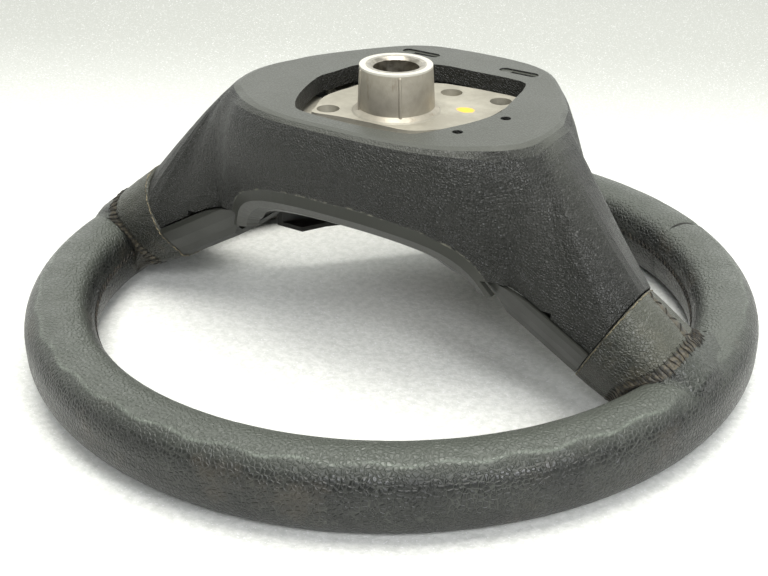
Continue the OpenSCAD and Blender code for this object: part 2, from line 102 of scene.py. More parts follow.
def put(tree, kind, inputs=(), out=0, **settings):
    made = tree.nodes.new("ShaderNode" + kind)
    for key, value in settings.items():
        setattr(made, key, value)
    for key, value in (inputs.items() if isinstance(inputs, dict) else enumerate(inputs)):
        if isinstance(value, bpy.types.NodeSocket):
            tree.links.new(value, made.inputs[key])
        else:
            made.inputs[key].default_value = value
    return made.outputs[out] if made.outputs else None


def start_material(name):
    mat = bpy.data.materials.new(name)
    mat.use_nodes = True
    mat.node_tree.nodes.clear()
    add = partial(put, mat.node_tree)
    return mat, add, add("TexCoord", out="Object")


def finish_material(add, surface):
    add("OutputMaterial", {"Surface": add("BsdfPrincipled", surface)})


def mottled(add, tone, low, high, dark, light):
    """Two close colours mixed by a noise, because no real surface is even."""
    return add("Mix", {0: add("MapRange", (tone, low, high), **SOFT), 6: hexed(dark), 7: hexed(light)}, **BLEND)


def layered(add, skin, *layers):
    """Colours laid over the skin, each with the share that shows."""
    for share, colour in layers:
        skin = add("Mix", {0: share, 6: skin, 7: hexed(colour)}, **BLEND)
    return skin


def warped(add, place, size, amount):
    """Coordinates shifted by a soft noise, so that a pattern loses its regularity."""
    shift = add("TexNoise", {"Vector": place, "Scale": per(size), "Detail": 2}, out="Color")
    centred = add("VectorMath", (shift, (0.5, 0.5, 0.5)), **MINUS)
    scaled = add("VectorMath", {0: centred, "Scale": amount}, operation="SCALE")
    return add("VectorMath", (place, scaled), **PLUS)


def facing_up(add, low, high):
    """Share that faces up: 1 on surfaces that face up, 0 on the walls. It carries grime and wear, and the painted
    sheen of tops lit from above.
    """
    up = add("SeparateXYZ", [add("NewGeometry", out="Normal")], out="Z")
    return add("MapRange", (up, low, high), **SOFT)


print("helpers ready")

# %% [markdown]
# ## Leather
# The rim is wrapped in embossed cowhide with a clear finish, and the cuffs in a softer one. Embossing gives
# the eye soft pebbles with narrow creases, so the grain is a cell pattern whose edges sink in. The pebbles of 2.2 and
# 1.6 mm are what shows at the photograph's distance, and finer wrinkles lie between them. Dirt gathers in the
# creases, and hands polish the pebbles, so they are smoother. Faces that look up get a lighter colour: partly a layer
# of dust, partly painted sheen from the light above. On the rim, two values stored in the mesh mark the band of the
# finger scallops, which gets the same painted sheen, and its front ridge, which gets a painted highlight: the mesh
# knows where they are, and a pattern in space wouldn't.

# %% Leather of the rim and of the cuffs
def leather(name, dark, light, dust_sheen_colour, looks_up, cell, depth, gloss, wear_colour, wear):
    """Grain with cells of a size in mm and a depth in m; looks_up is the range over which faces that look up take the
    lighter colour of dirt and painted sheen.
    """
    mat, add, place = start_material(name)
    grains = {"Vector": warped(add, place, 6.667, 0.0016), "Scale": per(cell), "Randomness": 0.85}
    edge = add("TexVoronoi", grains, feature="DISTANCE_TO_EDGE")
    pebble = add("MapRange", (edge, 0.0, 0.25), **SOFT)
    crease = add("MapRange", (edge, 0.02, 0.09, 1.0, 0.0), **SOFT)
    tone = add("TexNoise", {"Vector": place, "Scale": per(50), "Detail": 4, "Roughness": 0.6})

    # Colour: hide, then dirt in the creases, rubbed patches, dust with painted sheen on faces that look up and on the
    # scallop band, and a painted highlight on the ridge
    cloud = add("TexNoise", {"Vector": place, "Scale": per(29.41), "Detail": 3, "Roughness": 0.6})
    dusty = add("MapRange", (cloud, 0.38, 0.62), **SOFT)
    dirt = add("Math", (crease, add("Math", (dusty, 0.4), **TIMES)), **TIMES)
    handled = add("TexNoise", {"Vector": place, "Scale": per(33.33), "Detail": 5, "Roughness": 0.65})
    rubbed = add("MapRange", (handled, 0.52, 0.7, 0.0, wear), **SOFT)
    band = add("Attribute", out="Fac", attribute_name="scallop_band")
    # Dust and painted sheen: faces that look up, and the scallop band, are made lighter as if lit from above
    top_dust_and_sheen = add("Math", (facing_up(add, *looks_up), 0.55), **TIMES)
    dust_and_sheen = add("Math", (top_dust_and_sheen, add("Math", (band, 0.35), **TIMES)), **PLUS)
    # Painted highlight: a lighter broken line along the scallops' front ridge
    ridge = add("Attribute", out="Fac", attribute_name="scallop_ridge")
    broken = add("TexNoise", {"Vector": place, "Scale": per(11.11), "Detail": 3})
    painted_ridge_highlight = add("Math", (ridge, add("MapRange", (broken, 0.3, 0.6, 0.2, 0.7), **SOFT)), **TIMES)
    skin = mottled(add, tone, 0.35, 0.68, dark, light)
    skin = layered(add, skin, (dirt, "#50534b"), (rubbed, wear_colour), (dust_and_sheen, dust_sheen_colour), (painted_ridge_highlight, "#767d73"))

    # Gloss and relief
    shine = add("MapRange", (tone, 0.3, 0.7, gloss - 0.04, gloss + 0.06), **SOFT)
    rough = add("Math", (add("MapRange", (pebble, 0.0, 1.0, 0.14, 0.0), **SOFT), shine), **PLUS)
    fine = add("TexNoise", {"Vector": place, "Scale": per(cell/2.2), "Detail": 3, "Roughness": 0.6})
    height = add("Math", (pebble, add("Math", (fine, 0.35), **TIMES)), **PLUS)
    swell = add("TexNoise", {"Vector": place, "Scale": per(16.67), "Detail": 2})
    normal = add("Bump", {"Height": swell, "Distance": 0.0008, "Strength": 0.3})
    normal = add("Bump", {"Height": height, "Distance": depth, "Normal": normal})
    finish_material(add, {"Base Color": skin, "Roughness": rough, "Normal": normal, "IOR": 1.5})
    return mat


# The third colour is dust with painted sheen, for faces that look up
rim_leather = leather("grain leather of the rim", "#131513", "#1d1f1c", "#535750", (0.45, 0.9),
                      2.2, 0.00034, 0.3, "#453f35", 0.45)
cuff_leather = leather("soft leather of the cuffs", "#232521", "#34342d", "#5a5c52", (0.1, 0.7),
                       1.6, 0.00034, 0.33, "#57503e", 0.4)
print("leather ready")

# %% [markdown]
# ## Moulded plastic
# The cover is moulded polypropylene from an etched tool: a matt grain of about 1.3 mm that wear has smoothed on the
# flat top. Its lip round the arch comes from a polished part of the tool, so the grain is masked there. The lip's
# line could be a second material with a cut mesh, but a curve in the shader gives its height at each distance from
# the middle, and leaves the CAD piece whole. The trims are smooth satin polypropylene.

# %% Grained cover plastic with its smooth lip, and the smooth trims
LIP_LINE = [(0.0, 0.0934), (0.026, 0.0926), (0.0505, 0.086), (0.0666, 0.076), (0.0755, 0.0605), (0.0815, 0.042)]
LIP_SPAN, LIP_TOP = 0.09, 0.1         # distance and height that fill the curve's box
LIP_NEAR, LIP_HALF = -0.024, 0.0835   # the lip lies nearer than this y, within this distance of the middle


def grained_cover():
    mat, add, place = start_material("etched PP of the rear cover")
    x, y, z = add("SeparateXYZ", [place]).node.outputs

    # Mask of the lip, and of a lighter line along its top edge
    aside = add("Math", [x], **SIZE_OF)
    line = add("FloatCurve", {"Value": add("Math", (aside, LIP_SPAN), operation="DIVIDE")})
    curve = line.node.mapping.curves[0]
    points = [(a/LIP_SPAN, b/LIP_TOP) for a, b in LIP_LINE]
    curve.points[0].location = points[0]
    curve.points[1].location = (1.0, 0.0)
    for spot in points[1:]:
        curve.points.new(*spot)
    line.node.mapping.update()
    above = add("Math", (z, add("Math", (line, LIP_TOP), **TIMES)), **MINUS)
    near, between = add("Math", (y, LIP_NEAR), **BELOW), add("Math", (aside, LIP_HALF), **BELOW)
    inside = add("Math", (near, between), **TIMES)
    lip = add("Math", (inside, add("MapRange", (above, -0.0004, 0.0002, 1.0, 0.0), **SOFT)), **TIMES)
    off = add("Math", [above], **SIZE_OF)
    edge = add("Math", (inside, add("MapRange", (off, 0.0002, 0.0008, 1.0, 0.0), **SOFT)), **TIMES)

    # Grain, which fades on the flat top
    flat = facing_up(add, 0.6, 0.93)
    faded = add("Math", (1.0, add("Math", (flat, 0.85), **TIMES)), **MINUS)
    grainy = add("Math", (add("Math", (1.0, lip), **MINUS), faded), **TIMES)
    grains = {"Vector": warped(add, place, 3.333, 0.0011), "Scale": per(1.3), "Randomness": 0.95}
    cells = add("MapRange", (add("TexVoronoi", grains, feature="DISTANCE_TO_EDGE"), 0.0, 0.3), **SOFT)
    fine = add("TexNoise", {"Vector": place, "Scale": per(0.625), "Detail": 2})
    relief = add("Math", (cells, add("Math", (fine, 0.4), **TIMES)), **PLUS)
    height = add("Math", (relief, grainy), **TIMES)

    # Colour and gloss; the flat top's lighter colour is painted sheen from the light above, with some dust
    tone = add("TexNoise", {"Vector": place, "Scale": per(55.56), "Detail": 4, "Roughness": 0.6})
    # A lighter line along the lip's top edge, broken by noise
    line_breaks = add("TexNoise", {"Vector": place, "Scale": per(4.167), "Detail": 4, "Roughness": 0.7})
    rubbed = add("Math", (edge, add("MapRange", (line_breaks, 0.5, 0.62, 0.0, 0.8), **SOFT)), **TIMES)
    skin = mottled(add, tone, 0.3, 0.7, "#1c1d1a", "#242521")
    skin = layered(add, skin, (flat, "#44463f"), (lip, "#363732"), (rubbed, "#777668"))
    shine = add("MapRange", (tone, 0.3, 0.7, 0.3, 0.38), **SOFT)
    rough = add("Math", (add("MapRange", (cells, 0.0, 1.0, 0.1, 0.0), **SOFT), shine), **PLUS)
    normal = add("Bump", {"Height": height, "Distance": 0.0004})
    finish_material(add, {"Base Color": skin, "Roughness": rough, "Normal": normal, "IOR": 1.49})
    return mat


def smooth_plastic():
    """The trims: no grain, so only their gloss varies where hands have been."""
    mat, add, place = start_material("smooth satin PP of the trims")
    tone = add("TexNoise", {"Vector": place, "Scale": per(45.45), "Detail": 4, "Roughness": 0.6})
    skin = mottled(add, tone, 0.3, 0.7, "#2c2d29", "#343530")
    fine = add("TexNoise", {"Vector": place, "Scale": per(1.111), "Detail": 3})
    handled = add("TexNoise", {"Vector": place, "Scale": per(16.67), "Detail": 4})
    rough = add("MapRange", (handled, 0.35, 0.65, 0.4, 0.5), **SOFT)
    normal = add("Bump", {"Height": fine, "Distance": 0.00002})
    finish_material(add, {"Base Color": skin, "Roughness": rough, "Normal": normal, "IOR": 1.49})
    return mat


cover_plastic = grained_cover()
trim_plastic = smooth_plastic()
print("plastics ready")

# %% [markdown]
# ## Metals
# The hub plate is die-cast aluminium, blasted: bright, rough and slightly warm. It is one casting with the turned
# boss, which has grease stains and a bright ring, so one material tells the two apart by height and distance from
# the axis. One inspection dot of yellow paint sits on the plate. The bush, screws, rod and springs are steel.

# %% Die-cast plate with its paint dot, turned boss, steel bush and small steel parts
BOSS_R, BOSS_FOOT, BOSS_RING = 0.024, 0.1222, 0.1428    # the boss and the bright ring on its top
DOT_AT, DOT_SIZE, DOT_LEVEL = (0.028, 0.0185), (0.0046, 0.0036), 0.1165


def cast_metal():
    mat, add, place = start_material("die-cast aluminium")
    x, y, z = add("SeparateXYZ", [place]).node.outputs
    square = add("Math", (add("Math", (x, x), **TIMES), add("Math", (y, y), **TIMES)), **PLUS)
    far = add("Math", [square], operation="SQRT")
    boss = add("Math", (add("Math", (z, BOSS_FOOT), **ABOVE), add("Math", (far, BOSS_R), **BELOW)), **TIMES)

    # Blasted plate, and the turned boss with its stains and bright ring
    cloud = add("TexNoise", {"Vector": place, "Scale": per(16.67), "Detail": 5, "Roughness": 0.65})
    plate = mottled(add, cloud, 0.35, 0.7, "#9a9689", "#afab9d")
    drawn_out = add("Mapping", {"Vector": place, "Scale": (1.0, 1.0, 0.22)})
    streak = add("TexNoise", {"Vector": drawn_out, "Scale": per(4.762), "Detail": 5, "Roughness": 0.7})
    stain = add("Math", (add("MapRange", (streak, 0.55, 0.7), **SOFT), 0.45), **TIMES)
    ring = add("MapRange", (z, BOSS_RING, BOSS_RING + 0.0006), **SOFT)
    turned = mottled(add, cloud, 0.3, 0.7, "#a09a8c", "#bab4a5")
    turned = layered(add, turned, (stain, "#7b6a55"), (ring, "#d9d6cb"))
    skin = add("Mix", {0: boss, 6: plate, 7: turned}, **BLEND)

    # Paint dot: a ragged ellipse
    dx, dy = (add("Math", (add("Math", (axis, at), **MINUS), size), operation="DIVIDE")
              for axis, at, size in zip((x, y), DOT_AT, DOT_SIZE))
    spot = add("Math", (add("Math", (dx, dx), **TIMES), add("Math", (dy, dy), **TIMES)), **PLUS)
    wobble = add("Math", (add("TexNoise", {"Vector": place, "Scale": per(2), "Detail": 3}), 0.9), **TIMES)
    ragged = add("MapRange", (add("Math", (spot, wobble), **PLUS), 1.1, 1.7, 1.0, 0.0), **SOFT)
    paint = add("Math", (ragged, add("Math", (z, DOT_LEVEL), **ABOVE)), **TIMES)
    skin = layered(add, skin, (paint, "#f0b93a"))

    bare = add("Math", (1.0, paint), **MINUS)
    metal = add("Math", (bare, add("MapRange", (boss, 0.0, 1.0, 0.45, 0.6), **SOFT)), **TIMES)
    rough = add("MapRange", (boss, 0.0, 1.0, 0.6, 0.45), **SOFT)
    blast = add("TexNoise", {"Vector": place, "Scale": per(0.6667), "Detail": 3, "Roughness": 0.7})
    normal = add("Bump", {"Height": blast, "Distance": 0.00008})
    finish_material(add, {"Base Color": skin, "Metallic": metal, "Roughness": rough, "Normal": normal})
    return mat


def steel(name, dark, light, gloss):
    """Small steel parts: fine rings of the tool, and a gloss between the value given and a duller one."""
    mat, add, place = start_material(name)
    cloud = add("TexNoise", {"Vector": place, "Scale": per(3.125), "Detail": 4, "Roughness": 0.6})
    skin = mottled(add, cloud, 0.35, 0.65, dark, light)
    flattened = add("Mapping", {"Vector": place, "Scale": (0.15, 0.15, 1.0)})
    ring = add("TexNoise", {"Vector": flattened, "Scale": per(0.3846), "Detail": 2})
    rough = add("MapRange", (cloud, 0.3, 0.7, gloss, gloss + 0.12), **SOFT)
    normal = add("Bump", {"Height": ring, "Distance": 0.00003})
    finish_material(add, {"Base Color": skin, "Metallic": 1.0, "Roughness": rough, "Normal": normal})
    return mat


def foam():
    """Moulded foam: matt, with fine pores."""
    mat, add, place = start_material("moulded PUR foam")
    pores = add("TexNoise", {"Vector": place, "Scale": per(1.429), "Detail": 4})
    skin = mottled(add, pores, 0.4, 0.6, "#232321", "#2e2e2b")
    normal = add("Bump", {"Height": pores, "Distance": 0.0001})
    finish_material(add, {"Base Color": skin, "Roughness": 0.85, "Normal": normal, "IOR": 1.4})
    return mat


alloy = cast_metal()
bush_steel = steel("turned steel of the bush", "#9a958a", "#bdb8ac", 0.3)
dark_steel = steel("black oxide steel", "#2c2c2b", "#3a3a38", 0.45)
rod_steel = steel("cold drawn steel of the rim rod", "#6f6e69", "#83817b", 0.4)
spring_steel = steel("spring steel wire", "#7d7b76", "#96938c", 0.3)
foam_skin = foam()
print("metals ready")

# %% [markdown]
# ## Materials on the CAD pieces
# Each hard piece stays as the CAD made it and only gets its finish. The leathers and cuffs are drawn anew below.
# Smoothing by angle hides the facets of the curved faces and keeps the real edges crisp.

# %% Give each CAD node its material and smooth its facets
FINISH = {"armature": alloy, "hub_bush": bush_steel, "rim_rod": rod_steel, "rim_foam": foam_skin,
          "rear_cover": cover_plastic, "left_spoke_trim": trim_plastic, "right_spoke_trim": trim_plastic,
          "lower_trim": trim_plastic, "cover_screws": dark_steel,
          "left_latch_spring": spring_steel, "right_latch_spring": spring_steel}


for name, obj in nodes.items():
    obj.data.materials.clear()
    obj.data.materials.append(FINISH.get(name, rim_leather))
    bpy.ops.object.select_all(action="DESELECT")
    obj.select_set(True)
    bpy.context.view_layer.objects.active = obj
    bpy.ops.object.shade_auto_smooth(angle=math.radians(32))
print("CAD nodes dressed")

# %% [markdown]
# ## The rim's leather
# The section is two half rounds with a short flat between them, swept round the wheel. A curve with a bevel would
# give the ring, but not the finger scallops on its inner back side, so each point of the surface is worked out here.
# The scallops fade out beside the spokes. Two panels meet at cross seams, where their ends dip in.

# %% Section of the rim and its scallops
def section_points(count):
    """Points and outward normals round the section, starting at the outermost point and going up."""
    arc, flat = math.pi*GRIP_R, 2*GRIP_FLAT
    total = 2*arc + 2*flat
    out = []
    for k in range(count):
        s = (k/count*total + GRIP_FLAT) % total
        if s < flat:
            out.append((GRIP_R, s - GRIP_FLAT, 1.0, 0.0))
        elif s < flat + arc:
            a = (s - flat)/GRIP_R
            out.append((GRIP_R*math.cos(a), GRIP_FLAT + GRIP_R*math.sin(a), math.cos(a), math.sin(a)))
        elif s < 2*flat + arc:
            out.append((-GRIP_R, GRIP_FLAT - (s - flat - arc), -1.0, 0.0))
        else:
            a = math.pi + (s - 2*flat - arc)/GRIP_R
            out.append((GRIP_R*math.cos(a), -GRIP_FLAT + GRIP_R*math.sin(a), math.cos(a), math.sin(a)))
    return np.array(out)


def scallop(turn, sec):
    """Degrees round the section and past the scallops' front edge, the fingers' wave and the fade at the spokes."""
    way = np.degrees(np.arctan2(sec[..., 3], sec[..., 2]))
    wave = 0.5 - 0.5*np.cos(SCALLOPS*(turn + math.pi/2))
    spokes_at = (0, math.pi/2, math.pi)
    nearest = np.min([np.abs((turn - at + math.pi) % (2*math.pi) - math.pi) for at in spokes_at], axis=0)
    clear = np.clip((nearest - SPOKE_CLEAR)/SPOKE_FADE, 0, 1)
    return way, way - (SCALLOP_FROM - SCALLOP_WAVE*wave), wave, clear


def eased(share):
    return share*share*(3 - 2*share)


def rim_place(turn, sec, lift=0.0):
    """Row-frame point of the rim's surface at an angle round the wheel, for one section point."""
    a, b, na, nb = sec[..., 0], sec[..., 1], sec[..., 2], sec[..., 3]
    way, past, wave, clear = scallop(turn, sec)
    rise = eased(np.clip(past/SCALLOP_RISE, 0, 1))
    fall = eased(np.clip((SCALLOP_TO - way)/SCALLOP_FALL, 0, 1))
    dent = clear*SCALLOP_DEPTH*(SHALLOWEST + (1 - SHALLOWEST)*wave)*rise*fall
    r = RIM_R + a + na*(lift - dent)
    z = RIM_Z + b + nb*(lift - dent)
    return np.stack([r*np.cos(turn), r*np.sin(turn), z + 0*turn], -1)


def make_mesh(name, verts, faces, mat, smooth=True):
    mesh = bpy.data.meshes.new(name)
    mesh.from_pydata([tuple(v) for v in verts], [], [tuple(f) for f in faces])
    mesh.update()
    if smooth:
        mesh.polygons.foreach_set("use_smooth", [True]*len(mesh.polygons))
    obj = bpy.data.objects.new(name, mesh)
    bpy.context.scene.collection.objects.link(obj)
    mesh.materials.append(mat)
    return obj


def grid_faces(n, m, closed=True):
    """Quads between n rows of m points; closed joins the last column to the first."""
    faces = []
    for i in range(n - 1):
        for j in range(m if closed else m - 1):
            after = (j + 1) % m
            faces.append((i*m + j, (i + 1)*m + j, (i + 1)*m + after, i*m + after))
    return faces


print("section length in mm:", round(2000*(math.pi*GRIP_R + 2*GRIP_FLAT), 1))

# %% Sections of the spokes, as shares of their width and height
SIDE = [(-.31, -.42), (-.42, -.3), (-.5, -.085), (-.5, .11), (-.46, .33), (-.36, .5), (-.18, .58), (.04, .49),
        (.24, .335), (.4, .16), (.49, -.085), (.44, -.29), (.31, -.42)]
LOW = [(-.3, -.5), (-.44, -.36), (-.5, -.1), (-.49, .12), (-.42, .32), (-.26, .45), (0, .49), (.26, .45),
       (.42, .32), (.49, .12), (.5, -.1), (.44, -.36), (.3, -.5)]


def closed_curve(points, count):
    """Even points on the smooth closed curve through a ring of points."""
    p = np.array(points, float)
    t = np.linspace(0, len(p), len(p)*40, endpoint=False)
    i, f = t.astype(int), (t % 1)[:, None]
    a, b, c, d = (p[(i + k) % len(p)] for k in (-1, 0, 1, 2))
    q = 0.5*(2*b + (c - a)*f + (2*a - 5*b + 4*c - d)*f**2 + (3*b - a - 3*c + d)*f**3)
    step = np.linalg.norm(np.roll(q, -1, 0) - q, axis=1)
    along = np.concatenate([[0], np.cumsum(step)])
    want = np.linspace(0, along[-1], count, endpoint=False)
    q = np.vstack([q, q[:1]])
    return np.stack([np.interp(want, along, q[:, k]) for k in (0, 1)], 1)


def spoke_point(turn, shift, across, up, dist):
    """Row-frame point from a place in the spoke's section and a distance along its slope."""
    x = dist*COS_SLOPE + (AXIS_S + up)*SIN_SLOPE
    z = (AXIS_S + up)*COS_SLOPE - dist*SIN_SLOPE
    y = across + shift
    c, s = math.cos(turn), math.sin(turn)
    return np.stack([x*c - y*s, x*s + y*c, z + 0*x], -1)


def cuff_surface(turn, shift, ring, share):
    """Point of a spoke's surface for each ring point, at a share of its length from the plastic toward the rim."""
    wide, high = (ring[:, k]*(1 + (FLARE[k] - 1)*share) for k in (0, 1))
    return spoke_point(turn, shift, wide, high, SEAM_D + share*STUB_LEN)


def rim_gap(p):
    """Distance outside the rim's surface, negative inside it."""
    r = np.hypot(p[..., 0], p[..., 1]) - RIM_R
    z = p[..., 2] - RIM_Z
    z = np.sign(z)*np.maximum(np.abs(z) - GRIP_FLAT, 0)
    return np.hypot(r, z) - GRIP_R


def meeting(turn, shift, ring):
    """Share of the cuff's length where each of its lines meets the rim."""
    high = np.ones(len(ring))
    for step in np.linspace(0, 1, 61):
        inside = rim_gap(cuff_surface(turn, shift, ring, step)) < 0
        high = np.where(inside & (high == 1), step, high)
    low = np.maximum(high - 1/60, 0)
    for _ in range(18):
        mid = (low + high)/2
        inside = rim_gap(cuff_surface(turn, shift, ring, mid)) < 0
        high, low = np.where(inside, mid, high), np.where(inside, low, mid)
    return high


side_ring = closed_curve([(a*SIDE_W, b*SIDE_H) for a, b in SIDE], 220)
low_ring = closed_curve([(a*LOW_W, b*LOW_H) for a, b in LOW], 180)
# angle round the wheel, shift, ring, and the mirror that turns the right spoke into the left one
SPOKES = {"right": (0.0, SIDE_SHIFT, side_ring, 1),
          "left": (0.0, SIDE_SHIFT, side_ring, np.array([-1, 1, 1])),
          "lower": (math.pi/2, 0.0, low_ring, 1)}
print("spoke sections ready")

# %% Leather panels of the rim
RINGS, ROUND = 900, 112               # rows round the wheel and points round the section
TUCK_ROWS, TUCK = 3, 0.0009           # the ends dip into the cross seams
JOINT = math.radians(52)              # where the two panels meet, from 3 o'clock
BAND_EDGE, BAND_MORE, RIDGE_W = 5, 20, 2.4    # degrees: soft edge and overhang of the band, width of the ridge


def rim_panel(name, start, end, node):
    count = max(2, int(RINGS*(end - start)/(2*math.pi)))
    turns = np.linspace(start, end, count)
    sec = section_points(ROUND)
    way, past, _, clear = scallop(turns[:, None], sec[None, :, :])
    # The band mark later carries painted sheen, and the ridge mark a painted highlight
    marks = {"scallop_band": np.clip(past/BAND_EDGE, 0, 1)
             * np.clip((SCALLOP_TO + BAND_MORE - way)/SCALLOP_FALL, 0, 1),
             "scallop_ridge": clear*np.exp(-((past - 1)/RIDGE_W)**2)}
    tuck = np.minimum(np.minimum(np.arange(count), np.arange(count)[::-1])/TUCK_ROWS, 1.0)
    lift = (-TUCK*(1 - tuck)**2)[:, None]
    verts = rim_place(turns[:, None], sec[None, :, :], lift)
    obj = make_mesh(name, verts.reshape(-1, 3), grid_faces(count, ROUND), rim_leather)
    for mark, values in marks.items():
        layer = obj.data.attributes.new(mark, "FLOAT", "POINT")
        layer.data.foreach_set("value", np.broadcast_to(values, (count, ROUND)).ravel().astype(np.float32))
    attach(obj, "root")
    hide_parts(node)


rim_panel("upper_rim_leather", math.pi - JOINT, 2*math.pi + JOINT, "upper_leather")
rim_panel("lower_rim_leather", JOINT, math.pi - JOINT, "lower_leather")
print("rim leather ready")


# %% [markdown]
# ## Cuffs and collars
# Each spoke's skin is worked out as a grid of points: rows run from the plastic to the rim, columns run round the
# spoke. The first rows are the cuff. The last rows are the collar, where the rim's leather climbs onto the spoke.
# The seam between the two lies on the spoke, farther out on its top than on its sides. Sculpting could do this too,
# but a grid with known rows lets the strips, threads and folds find their place on it.

# %% Skin of the spokes
CUFF_ROWS, STRAIGHT_ROWS, COLLAR_ROWS = 46, 10, 14
SEAM_LOW, SEAM_MORE = 0.42, 0.2       # where the seam lies on the sides, and how much farther out on the top
COLLAR_REACH = 0.008                  # how far the collar runs along the rim past the spoke
FOLD, CREASE = 0.0004, 0.00018        # heights of the large and of the small folds
FOLD_WAVE, CREASE_WAVE = 300, 800     # radians per metre: folds about 20 and 8 mm apart
FOLD_FADE = 0.004                     # distance over which the folds die out at both ends
SEWN, SEWN_W = 0.0007, 0.0012         # how deep and how wide the seam pulls the hide in
ROLLED, ROLLED_W = 0.0004, 0.0008     # the same for the rolled edge at the plastic
SUNK = 0.0003                         # how deep the collar's end goes into the rim


def smooth_noise(points, scale, seed):
    """A cheap smooth 3-D noise: a few sine waves in random directions."""
    local = np.random.default_rng(seed)
    total = np.zeros(points.shape[:-1])
    for _ in range(9):
        way = local.normal(size=3)
        way *= scale*local.uniform(0.6, 1.5)/np.linalg.norm(way)
        total += np.sin(points @ way + local.uniform(0, 6.28))
    return total/9


def unit(v):
    return v/(np.linalg.norm(v, axis=-1)[..., None] + 1e-12)


def rim_normal(p):
    """Outward direction of the rim's section at points near its surface."""
    r = np.hypot(p[..., 0], p[..., 1])
    z = p[..., 2] - RIM_Z
    z = np.sign(z)*np.maximum(np.abs(z) - GRIP_FLAT, 0)
    return unit(np.stack([p[..., 0]/r*(r - RIM_R), p[..., 1]/r*(r - RIM_R), z], -1))


def on_rim(p):
    """Moves points onto the rim's surface."""
    return p - rim_normal(p)*rim_gap(p)[..., None]


def softened(values, rounds):
    """Averages each value of a ring with its neighbours."""
    for _ in range(rounds):
        values = (np.roll(values, 1, 0) + 2*values + np.roll(values, -1, 0))/4
    return values


def along_surface(way, out):
    """The part of a direction that lies in the surface."""
    return unit(way - out*(way*out).sum(-1)[:, None])


def spoke_skin(side):
    """Grid of the spoke's surface, the outward direction at each point and its distance past the seam."""
    turn, shift, ring, _ = SPOKES[side]
    ends = meeting(turn, shift, ring)

    # The cuff: straight lines from the plastic to the seam
    rise = eased(np.clip((ring[:, 1] + 0.006)/0.03, 0, 1))
    seam = softened(np.minimum(SEAM_LOW + SEAM_MORE*rise, ends - 0.05), 8)
    rows = [cuff_surface(turn, shift, ring, along*seam) for along in np.linspace(0, 1, CUFF_ROWS)]
    ahead = unit(rows[-1] - rows[-2])

    # The collar: straight on for a little, then a curve that lands on the rim in line with its surface
    edge = on_rim(cuff_surface(turn, shift, ring, ends))
    away = softened(along_surface(ahead, rim_normal(edge)), 8)
    steep = np.sqrt(np.clip(1 - (ahead*away).sum(-1)**2, 0, 1))
    bend = np.maximum(seam + 0.01, ends - 0.03 - 0.15*steep)
    for part in np.linspace(0, 1, STRAIGHT_ROWS + 1)[1:]:
        rows.append(cuff_surface(turn, shift, ring, seam + part*(bend - seam)))
    landing = on_rim(edge + away*(COLLAR_REACH*(0.75 + 0.25*steep))[:, None])
    flat = along_surface(away, rim_normal(landing))
    bent = rows[-1]
    chord = np.linalg.norm(landing - bent, axis=1)[:, None]
    for u in np.linspace(0, 1, COLLAR_ROWS + 1)[1:]:
        start, stop = 2*u**3 - 3*u**2 + 1, 3*u**2 - 2*u**3
        rows.append(bent*start + landing*stop + (ahead*(u**3 - 2*u**2 + u) + flat*(u**3 - u**2))*chord)

    grid = np.array(rows)
    normal = unit(np.cross(np.gradient(grid, axis=0), (np.roll(grid, -1, 1) - np.roll(grid, 1, 1))/2))
    centre = grid[:CUFF_ROWS].mean(1)
    if ((grid[:CUFF_ROWS] - centre[:, None])*normal[:CUFF_ROWS]).sum() < 0:
        normal = -normal
    step = np.linalg.norm(np.diff(grid, axis=0), axis=2)
    along = np.concatenate([np.zeros((1, len(ring))), np.cumsum(step, axis=0)])
    return grid, normal, along - along[CUFF_ROWS - 1]


def dressed_spoke(side):
    """Makes the cuff and the collar of a spoke, with folds, the pull of the seam and a rolled edge."""
    grid, normal, reach = spoke_skin(side)
    m = grid.shape[1]
    fold = smooth_noise(grid, FOLD_WAVE, 3)*FOLD
    fold = fold + smooth_noise(grid*np.array([1, 1, 1.6]), CREASE_WAVE, 5)*CREASE
    start = np.minimum((reach - reach[0])/FOLD_FADE, 1)
    finish = np.minimum((reach[-1] - reach)/FOLD_FADE, 1)
    sewn = SEWN*np.exp(-(reach/SEWN_W)**2)
    rolled = ROLLED*np.exp(-((reach - reach[0])/ROLLED_W)**2)
    grid = grid + normal*(fold*start*finish - sewn - rolled)[..., None]
    mirror = SPOKES[side][3]
    tucked = grid[0] + (grid[0].mean(0) - grid[0])*0.05
    cuff = np.concatenate([tucked[None], grid[:CUFF_ROWS]])*mirror
    obj = make_mesh(f"{side}_cuff_leather", cuff.reshape(-1, 3), grid_faces(len(cuff), m), cuff_leather)
    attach(obj, "root")
    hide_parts(f"{side}_cuff")
    sunk = grid[-1] - normal[-1]*SUNK
    collar = np.concatenate([grid[CUFF_ROWS - 1:], sunk[None]])*mirror
    obj = make_mesh(f"{side}_rim_collar", collar.reshape(-1, 3), grid_faces(len(collar), m), rim_leather)
    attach(obj, "root")
    return grid, normal, reach, mirror


spokes = {side: dressed_spoke(side) for side in SPOKES}
print("cuffs and collars ready")


# %% [markdown]
# ## Seams of the cuffs
# A strip of worn hide covers the joint of cuff and collar, and another closes the cuff along its far side.
# Dark threads cross the first about every 3 mm and zigzag over the second. They pull the hide into small puckers.
# The cut edge at the plastic shows the pale core of the hide. Threads are real tubes, because a bump map has no
# outline and no shadow under it.

